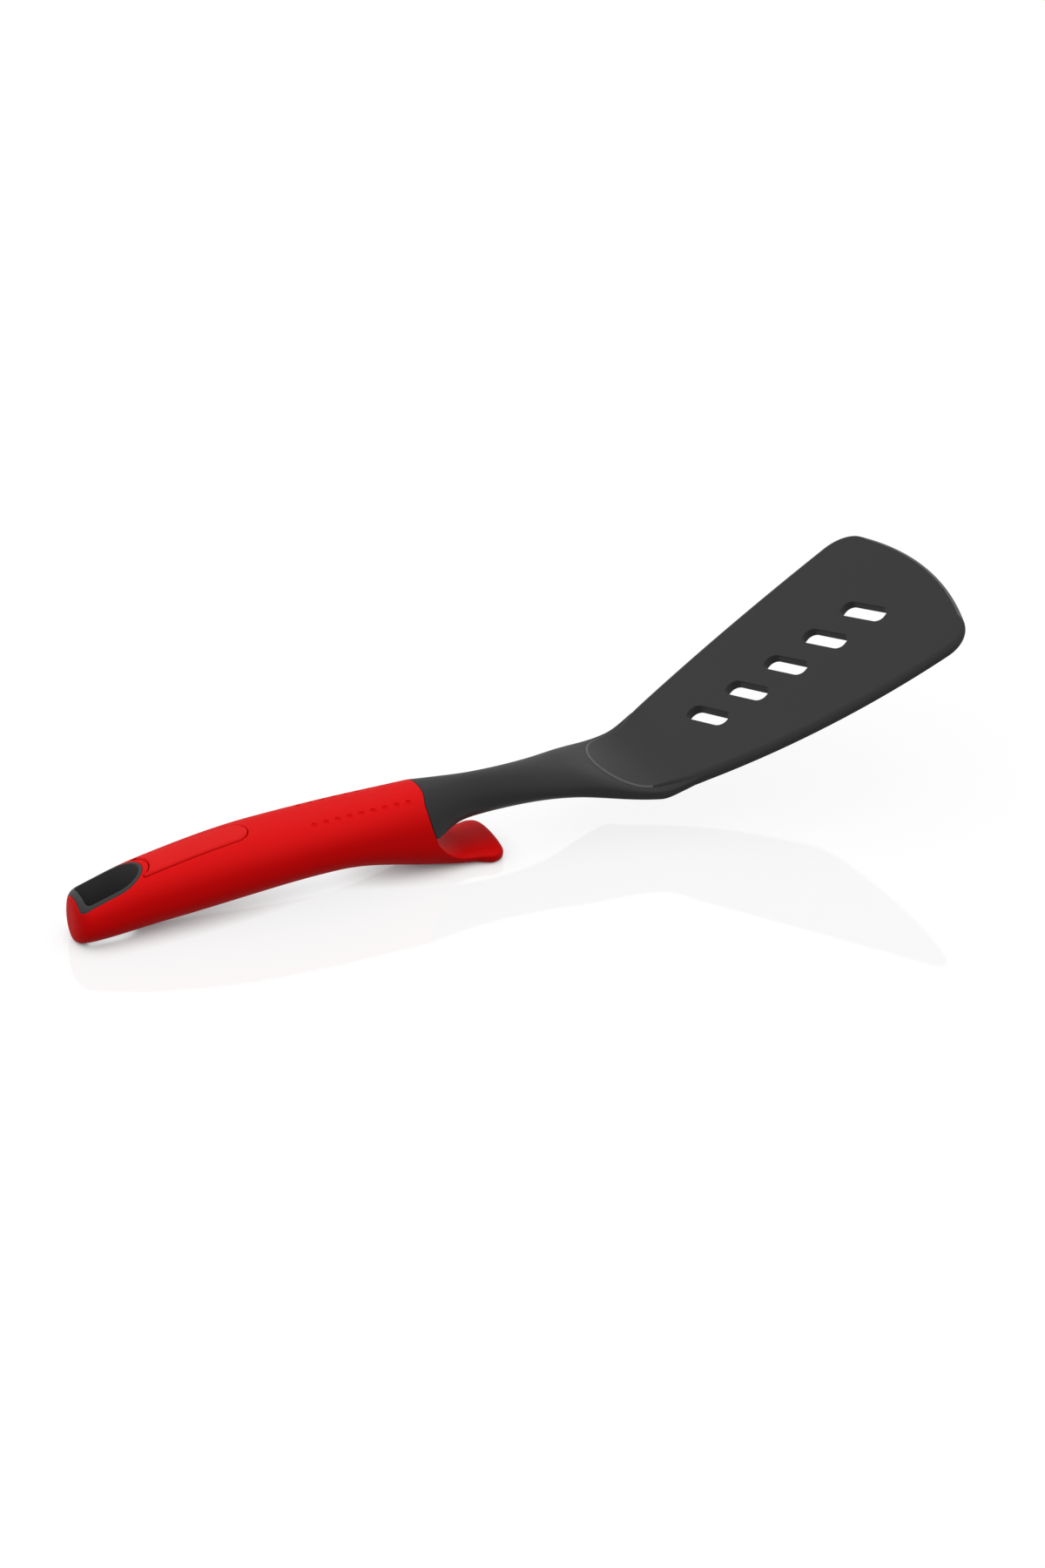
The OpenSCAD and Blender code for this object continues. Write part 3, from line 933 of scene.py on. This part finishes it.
def plate_body():
    """Plate of the blade with rounded edges, modelled flat, sliced across and bent to its slope."""
    half, front_x = plate_half()
    right = [(x, -y, e) for x, y, e in half]
    around = right + half[-2:0:-1]
    outline = [(x, y) for x, y, _ in around]
    edges = [e for _, _, e in around]
    loops = []
    for i in range(EDGE_STEPS + 1):
        t = math.pi / 2 * i / EDGE_STEPS
        inner = grown(outline, [-e * (1.0 - math.sin(t)) for e in edges])
        loops.append([Vector((x, y, -EDGE_DROP * (1.0 - math.cos(t)))) for x, y in inner])
    for g, deep in PLATE_LOW_RIM:
        loops.append([Vector((x, y, -deep)) for x, y in evenly_grown(outline, g)])
    bm = closed(draw_out(bmesh.new(), loops))
    slice_up(bm, spread(TONGUE_X, OVERALL_L, PLATE_SLICES)[1:-1], 0)
    # Faces on the rounding of the lip and the front edge get the second, lighter grey: a painted
    # highlight
    for face in bm.faces:
        x, _, share = face.calc_center_median()
        light = -PAINTED_HIGHLIGHT_DROP < share < -PAINTED_HIGHLIGHT_START
        if light and (x < TONGUE_JOIN_X - PAINTED_HIGHLIGHT_BACK or x > front_x):
            face.material_index = 1
    for v in bm.verts:
        s, y, share = v.co
        tilt = math.atan((plate_top(s + TOUCH / 2) - plate_top(s - TOUCH / 2)) / TOUCH)
        drop = share * plate_thick(s)
        square = 1.0 - ease((s - OVERALL_L) / FRONT_SQUARE_L + 1.0)
        v.co = (s - math.sin(tilt) * drop * square, y, plate_top(s, y) + math.cos(tilt) * drop)
    return bm


def slot_outline(half_l):
    """Outline of a slot: a slanted oblong with rounded corners, anticlockwise."""
    in_x, in_y = SLOT_W / 2 - SLOT_R, half_l - SLOT_R
    outline = []
    for quarter, (cx, cy) in enumerate([(in_x, in_y), (-in_x, in_y), (-in_x, -in_y), (in_x, -in_y)]):
        a = quarter * math.pi / 2
        outline += arc(cx, cy, SLOT_R, a, a + math.pi / 2, SLOT_STEPS)
    return [(x * math.cos(SLOT_SLANT) - y * math.sin(SLOT_SLANT),
             x * math.sin(SLOT_SLANT) + y * math.cos(SLOT_SLANT)) for x, y in outline]


def slot_cutters():
    """Slots, square to the blade, that widen softly at both faces."""
    bm = bmesh.new()
    for i in range(SLOT_N):
        d = (SLOT_FIRST + i * SLOT_PITCH) * math.cos(MEAN_TILT)
        tilt = math.atan(blade_slope(d))
        along_blade = Vector((math.cos(tilt), 0.0, math.sin(tilt)))
        out = Vector((-math.sin(tilt), 0.0, math.cos(tilt)))
        centre = Vector((ROOT_X + d, 0.0, blade_top(d))) - out * blade_thick(d) / 2
        outline = slot_outline((SLOT_L + i * SLOT_GROW) / 2)
        face = blade_thick(d) / 2
        flare = [(SLOT_RIM_R * g, face + SLOT_RIM_R * h) for g, h in SLOT_RIM]
        loops = []
        for g, h in flare + [(g, -h) for g, h in reversed(flare)]:
            loops.append([centre + along_blade * x + Vector((0.0, y, 0.0)) + out * h
                          for x, y in evenly_grown(outline, g)])
        draw_out(bm, loops)
    return bm


def tang_body():
    """Bar of the head that runs back into the handle's core, with the pin's hole."""
    run = SEAM_X - CORE_X
    slope = math.atan2(CORE_FRONT_H - CORE_REAR_H, run)
    line = run / math.cos(slope)
    way = Vector((math.cos(slope), 0.0, math.sin(slope)))
    up = Vector((-math.sin(slope), 0.0, math.cos(slope)))
    start = Vector((CORE_X, 0.0, CORE_REAR_H))
    loops = []
    for d in (line - TANG_L, line + TANG_ROOT):
        loops.append([start + way * d + Vector((0.0, y * TANG_W / 2, 0.0)) + up * (z * TANG_T / 2)
                      for y, z in ((-1, -1), (1, -1), (1, 1), (-1, 1))])
    at = start + way * (line - PIN_BACK)
    around = arc(0.0, 0.0, PIN_HOLE_D / 2, 0.0, 2 * math.pi, PIN_SIDES)[:-1]
    ends = []
    for y in (-TANG_W, TANG_W):
        ends.append([at + Vector((0.0, y, 0.0)) + way * a + up * b for a, b in around])
    return draw_out(bmesh.new(), loops), draw_out(bmesh.new(), ends)


def made_head():
    """Neck, plate and tang in one, with the slots and the pin's hole cut out."""
    body = made_object("turner_blade", neck_body())
    plate = made_object("plate", plate_body())
    slots = made_object("slots", slot_cutters())
    bar, hole = tang_body()
    tang = made_object("tang", bar)
    pin_hole = made_object("pin_hole", hole)
    # The second slot is the lighter grey of the painted highlight on the lip and the front edge
    for piece in (body, plate, slots, tang, pin_hole):
        piece.data.materials.append(BLADE_GREY)
        piece.data.materials.append(EDGE_HIGHLIGHT_GREY)
    return smoothed(worked(body, [("UNION", plate), ("DIFFERENCE", slots), ("UNION", tang),
                                  ("DIFFERENCE", pin_hole)]))


# Materials

class Val:
    """A shader value that takes part in plain arithmetic."""

    def __init__(self, finish, socket):
        self.finish = finish
        self.socket = socket

    def __add__(self, other):
        return self.finish.math("ADD", self, other)

    def __radd__(self, other):
        return self.finish.math("ADD", other, self)

    def __mul__(self, other):
        return self.finish.math("MULTIPLY", self, other)

    def __rmul__(self, other):
        return self.finish.math("MULTIPLY", other, self)


class Finish:
    """A material or the world in the making."""

    def __init__(self, owner):
        self.owner = owner
        owner.use_nodes = True
        self.tree = owner.node_tree
        self.tree.nodes.clear()

    def node(self, kind, settings=None, inputs=None, out=0):
        """New node with its settings, and the values or links of its sockets."""
        made = self.tree.nodes.new(kind)
        for key, value in (settings or {}).items():
            if key == "stops":
                lay_stops(made.color_ramp, value)
            else:
                setattr(made, key, value)
        for key, value in (inputs or {}).items():
            if isinstance(value, Val):
                self.tree.links.new(value.socket, made.inputs[key])
            else:
                made.inputs[key].default_value = value
        return Val(self, made.outputs[out]) if made.outputs else made

    def math(self, operation, a, b):
        return self.node("ShaderNodeMath", {"operation": operation}, {0: a, 1: b})

    def noise(self, scale, detail=2.0, rough=0.5):
        place = self.node("ShaderNodeTexCoord", out="Object")
        return self.node("ShaderNodeTexNoise", {}, {
            "Vector": place, "Scale": scale, "Detail": detail, "Roughness": rough})

    def seen(self):
        """1 for what the eye, a reflection or glass sees, and 0 for light that falls on things."""
        most, *others = [self.node("ShaderNodeLightPath", out=f"Is {ray} Ray")
                         for ray in ("Camera", "Glossy", "Transmission")]
        for other in others:
            most = self.math("MAXIMUM", most, other)
        return most

    def blend(self, share, a, b):
        return self.node("ShaderNodeMix", {"data_type": "RGBA"}, {0: share, 6: a, 7: b}, out=2)

    def bump(self, height, strength, distance):
        return self.node("ShaderNodeBump", {}, {
            "Height": height, "Strength": strength, "Distance": distance})

    def shown(self, shader, end="ShaderNodeOutputMaterial"):
        self.node(end, {}, {"Surface": shader})
        return self.owner

    def principled(self, inputs):
        return self.shown(self.node("ShaderNodeBsdfPrincipled", {}, inputs))


def grey(v):
    return (v, v, v, 1.0)


def lay_stops(ramp, stops):
    """Soft grey ramp through stops of (place, light)."""
    ramp.interpolation = "EASE"
    for i, (place, light) in enumerate(stops):
        stop = ramp.elements[i] if i < len(ramp.elements) else ramp.elements.new(place)
        stop.position = place
        stop.color = grey(light)


def rgb(r, g, b):
    """Linear colour from red, green and blue as a screen gives them, each 0 to 255."""
    def linear(v):
        v /= 255.0
        return v / 12.92 if v <= 0.04045 else ((v + 0.055) / 1.055) ** 2.4
    return (linear(r), linear(g), linear(b), 1.0)


def red_rubber(name, deep, light, sheen):
    """Satin soft-touch rubber with a fine even grain."""
    f = Finish(bpy.data.materials.new(name))
    cloud = f.noise(38.0, detail=3.0)
    grain = f.noise(2600.0, rough=0.6)
    tone = cloud * 0.6 + grain * 0.4
    return f.principled({
        "Base Color": f.blend(tone, deep, light),
        "Roughness": 0.52 + 0.1 * grain + 0.06 * cloud,
        "Specular IOR Level": sheen,
        "Normal": f.bump(grain, strength=0.12, distance=0.00012)})


def dark_nylon(name, deep, light):
    """Glass-filled nylon out of a finely eroded mould."""
    f = Finish(bpy.data.materials.new(name))
    cloud = f.noise(26.0, detail=3.0)
    grain = f.noise(3200.0, detail=3.0, rough=0.65)
    tone = cloud * 0.55 + grain * 0.45
    return f.principled({
        "Base Color": f.blend(tone, deep, light),
        "Roughness": 0.4 + 0.12 * grain + 0.06 * cloud,
        "Specular IOR Level": 0.12,
        "Normal": f.bump(grain, strength=0.1, distance=0.0001)})


def plain_steel(name):
    """Drawn steel wire with a fine grain."""
    f = Finish(bpy.data.materials.new(name))
    grain = f.noise(1800.0, detail=3.0)
    return f.principled({
        "Base Color": f.blend(grain, rgb(170, 172, 176), rgb(200, 202, 206)),
        "Metallic": 1.0,
        "Roughness": 0.28 + 0.1 * grain})


def studio_floor():
    """White glossy sheet: mostly plain white to the eye and in reflections, with a soft shadow."""
    f = Finish(bpy.data.materials.new("studio_sheet"))
    cloud = f.noise(6.0)
    seen = f.seen()
    sheet = f.node("ShaderNodeBsdfDiffuse", {}, {
        "Color": f.blend(seen, grey(SHEET_BOUNCE), grey(SHEET_SHADE))})
    white = f.node("ShaderNodeEmission", {}, {"Color": grey(1.0), "Strength": 1.0})
    mirror = f.node("ShaderNodeBsdfGlossy", {}, {
        "Color": grey(1.0), "Roughness": 0.04 + 0.01 * cloud})
    clear = f.node("ShaderNodeAmbientOcclusion", {"samples": CONTACT_SAMPLES},
                   {"Distance": CONTACT_REACH}, out="AO")
    lit = f.node("ShaderNodeMixShader", {}, {0: seen * SHEET_WHITE * clear, 1: sheet, 2: white})
    return f.shown(f.node("ShaderNodeMixShader", {}, {0: seen * SHEET_MIRROR, 1: lit, 2: mirror}))


def dressed(piece, material, slot, *nodes):
    """Gives a piece its finish and its place in the frame."""
    if not piece.data.materials:
        piece.data.materials.append(material)
    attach(piece, "root")
    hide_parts(*nodes)


# Floor, light and camera

def made_floor():
    bm = bmesh.new()
    bmesh.ops.create_grid(bm, x_segments=FLOOR_SQUARES, y_segments=FLOOR_SQUARES, size=FLOOR_HALF)
    floor = meshed("studio_floor", bm)
    floor.data.materials.append(studio_floor())


def made_world():
    """Even studio tent, a little brighter overhead, plain white to the eye and in reflections."""
    world = bpy.data.worlds.new("studio")
    bpy.context.scene.world = world
    f = Finish(world)
    way = f.node("ShaderNodeTexCoord", out="Generated")
    height = f.node("ShaderNodeSeparateXYZ", {}, {0: way}, out="Z")
    light = f.node("ShaderNodeValToRGB", {"stops": TENT}, {0: height})
    tent = f.node("ShaderNodeBackground", {}, {"Color": light, "Strength": TENT_LIGHT})
    white = f.node("ShaderNodeBackground", {}, {"Color": grey(1.0)})
    both = f.node("ShaderNodeMixShader", {}, {0: f.seen(), 1: tent, 2: white})
    f.shown(both, end="ShaderNodeOutputWorld")


def facing(azimuth, elevation):
    """Turn of a lamp or camera that looks from a direction, in degrees, towards the object."""
    a, e = math.radians(azimuth), math.radians(elevation)
    back = Vector((math.sin(a) * math.cos(e), -math.cos(a) * math.cos(e), math.sin(e)))
    return (-back).to_track_quat("-Z", "Y").to_euler()


def made_sun(name, strength, breadth, azimuth, elevation):
    """Broad soft light from a direction."""
    light = bpy.data.lights.new(name, "SUN")
    light.energy = strength
    light.angle = math.radians(breadth)
    in_scene(name, light).rotation_euler = facing(azimuth, elevation)


def made_camera():
    lens = bpy.data.cameras.new("photo_camera")
    lens.lens = CAMERA_LENS
    lens.sensor_width = CAMERA_FILM
    lens.clip_start = CAMERA_NEAR
    camera = in_scene("photo_camera", lens)
    camera.location = CAMERA_PLACE
    camera.rotation_euler = facing(CAMERA_AZIMUTH, CAMERA_ELEVATION)
    bpy.context.scene.camera = camera


# The whole scene

GRIP_RED = red_rubber("grip_red_rubber", rgb(206, 0, 1), rgb(214, 0, 1), 0.09)
PAD_RED = red_rubber("pad_red_rubber", rgb(207, 10, 9), rgb(215, 10, 9), 0.12)
BLADE_GREY = dark_nylon("blade_dark_nylon", rgb(44, 44, 45), rgb(50, 50, 51))
# Lighter copy of the blade's nylon: a painted highlight for the lip and the front edge
EDGE_HIGHLIGHT_GREY = dark_nylon("edge_painted_highlight_nylon", rgb(82, 82, 83), rgb(90, 90, 91))
LINER_GREY = dark_nylon("liner_dark_nylon", rgb(58, 58, 59), rgb(64, 64, 65))
CORE_GREY = dark_nylon("core_grey_nylon", rgb(92, 92, 95), rgb(104, 104, 107))
PIN_STEEL = plain_steel("pin_drawn_steel")

dressed(made_head(), BLADE_GREY, "head", "turner_head")
dressed(made_grip(), GRIP_RED, "grip", "grip_sleeve")
dressed(made_pad(), PAD_RED, "pad", "thumb_pad")
dressed(made_eye(), LINER_GREY, "eye", "hanging_eye")
for node, finish in (("handle_core", CORE_GREY), ("tang_pin", PIN_STEEL)):
    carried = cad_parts[node]
    carried.data.materials.clear()
    carried.data.materials.append(finish)

made_floor()
made_world()
made_sun("front_softbox", strength=0.1, breadth=40.0, azimuth=25.0, elevation=40.0)
made_camera()
bpy.context.scene.view_settings.view_transform = "Standard"
